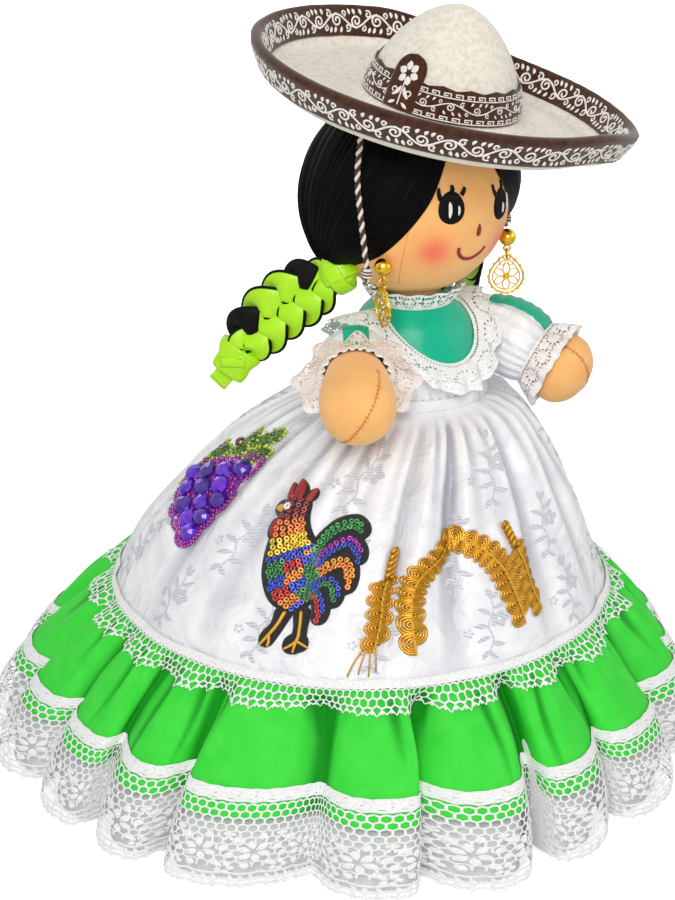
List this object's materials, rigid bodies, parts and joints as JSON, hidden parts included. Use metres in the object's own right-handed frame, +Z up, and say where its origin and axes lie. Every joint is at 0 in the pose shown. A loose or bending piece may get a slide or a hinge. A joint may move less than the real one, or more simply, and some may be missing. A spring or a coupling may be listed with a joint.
{
  "type": "rag doll",
  "caption": "Stuffed cloth doll with braided hair, a wide embroidered-band felt sombrero and a long flounced fiesta dress; head, arms, legs and braids move and the hat lifts off.",
  "frame": {"origin": "centre of the hem ring on the surface the doll stands on", "axes": "+Z up, the doll faces -Y, its right side is -X"},
  "size_m": [0.3833, 0.3832, 0.3879],
  "materials": {
    "skin_cloth": "woven matte",
    "hair_floss": "silky",
    "lime_ribbon": "satin",
    "black_ribbon": "satin",
    "white_brocade": "satin jacquard",
    "white_lace": "openwork",
    "teal_satin": "satin",
    "green_cloth": "sheen",
    "white_cotton": "matte",
    "cream_felt": "felt",
    "brown_suede": "napped",
    "lining": "matte",
    "cord": "twisted",
    "gold_metal": "polished",
    "purple_sequins": "sequinned",
    "black_felt": "felt",
    "gold_gimp": "metallic braid",
    "shoe_leather": "gloss"
  },
  "bodies": {
    "torso_body": {"torso": "skin_cloth", "yoke": "teal_satin", "bodice": "white_brocade", "waistband": "white_brocade", "neck_lace": "white_lace", "collar_frill": "white_lace", "skirt": "white_brocade", "flounce": "green_cloth", "hem_lace": "white_lace", "seam_lace": "white_lace", "petticoat": "white_cotton", "grape_patch": "purple_sequins", "rooster_patch": "black_felt", "gimp_arch": "gold_gimp", "right_gimp_strip": "gold_gimp", "left_gimp_strip": "gold_gimp"},
    "head_body": {"head": "skin_cloth", "right_hair": "hair_floss", "left_hair": "hair_floss", "right_braid_knot": "lime_ribbon", "left_braid_knot": "lime_ribbon", "right_earring_bead": "gold_metal", "left_earring_bead": "gold_metal", "right_earring_ring": "gold_metal", "left_earring_ring": "gold_metal"},
    "hat": {"sombrero": "cream_felt", "brim_band": "brown_suede", "crown_band": "brown_suede", "band_tab": "brown_suede", "sweatband": "lining", "right_chin_cord": "cord", "left_chin_cord": "cord", "right_cord_knot": "cord", "left_cord_knot": "cord"},
    "right_braid": {"right_braid_strand_1": "lime_ribbon", "right_braid_strand_2": "lime_ribbon", "right_braid_strand_3": "black_ribbon", "right_braid_tie": "lime_ribbon"},
    "right_arm_body": {"right_arm": "skin_cloth", "right_sleeve": "white_brocade", "right_cuff_lace": "white_lace", "right_sleeve_strip": "teal_satin"},
    "right_leg_body": {"right_leg": "skin_cloth", "right_shoe": "shoe_leather"},
    "right_pendant": {"right_earring_pendant": "gold_metal"},
    "left_braid": {"left_braid_strand_1": "lime_ribbon", "left_braid_strand_2": "lime_ribbon", "left_braid_strand_3": "black_ribbon", "left_braid_tie": "lime_ribbon"},
    "left_arm_body": {"left_arm": "skin_cloth", "left_sleeve": "white_brocade", "left_cuff_lace": "white_lace", "left_sleeve_strip": "teal_satin"},
    "left_leg_body": {"left_leg": "skin_cloth", "left_shoe": "shoe_leather"},
    "left_pendant": {"left_earring_pendant": "gold_metal"}
  },
  "joints": [
    {"name": "head_turn", "type": "hinge", "parent": "torso_body", "child": "head_body", "pos_m": [0.026, -0.02, 0.242], "axis": [0, 0, 1], "range_deg": [-15, 15], "stiffness_Nm_per_rad": 0.15},
    {"name": "hat_lift", "type": "slide", "parent": "head_body", "child": "hat", "axis": [0, 0, 1], "range_m": [0, 0.115]},
    {"name": "right_arm_raise", "type": "hinge", "parent": "torso_body", "child": "right_arm_body", "pos_m": [-0.014, -0.024, 0.22], "axis": [-0.809, 0.5878, 0], "range_deg": [-6, 4]},
    {"name": "right_leg_swing", "type": "hinge", "parent": "torso_body", "child": "right_leg_body", "pos_m": [0.009, -0.022, 0.123], "axis": [1, 0, 0], "range_deg": [-22, 22]},
    {"name": "right_braid_lift", "type": "hinge", "parent": "head_body", "child": "right_braid", "pos_m": [-0.018, -0.017, 0.258], "axis": [0.7792, 0.6268, 0], "range_deg": [0, 25]},
    {"name": "right_earring_swing", "type": "hinge", "parent": "head_body", "child": "right_pendant", "pos_m": [-0.01462, -0.0494, 0.25695], "axis": [0.9613, -0.2756, 0], "range_deg": [-12, 12]},
    {"name": "left_arm_raise", "type": "hinge", "parent": "torso_body", "child": "left_arm_body", "pos_m": [0.066, -0.024, 0.22], "axis": [-0.866, -0.5, 0], "range_deg": [0, 15]},
    {"name": "left_leg_swing", "type": "hinge", "parent": "torso_body", "child": "left_leg_body", "pos_m": [0.043, -0.022, 0.123], "axis": [1, 0, 0], "range_deg": [-22, 22]},
    {"name": "left_braid_lift", "type": "hinge", "parent": "head_body", "child": "left_braid", "pos_m": [0.07, -0.017, 0.258], "axis": [0.7792, -0.6268, 0], "range_deg": [0, 25]},
    {"name": "left_earring_swing", "type": "hinge", "parent": "head_body", "child": "left_pendant", "pos_m": [0.06662, -0.0494, 0.25695], "axis": [0.5592, 0.829, 0], "range_deg": [-12, 12]}
  ]
}
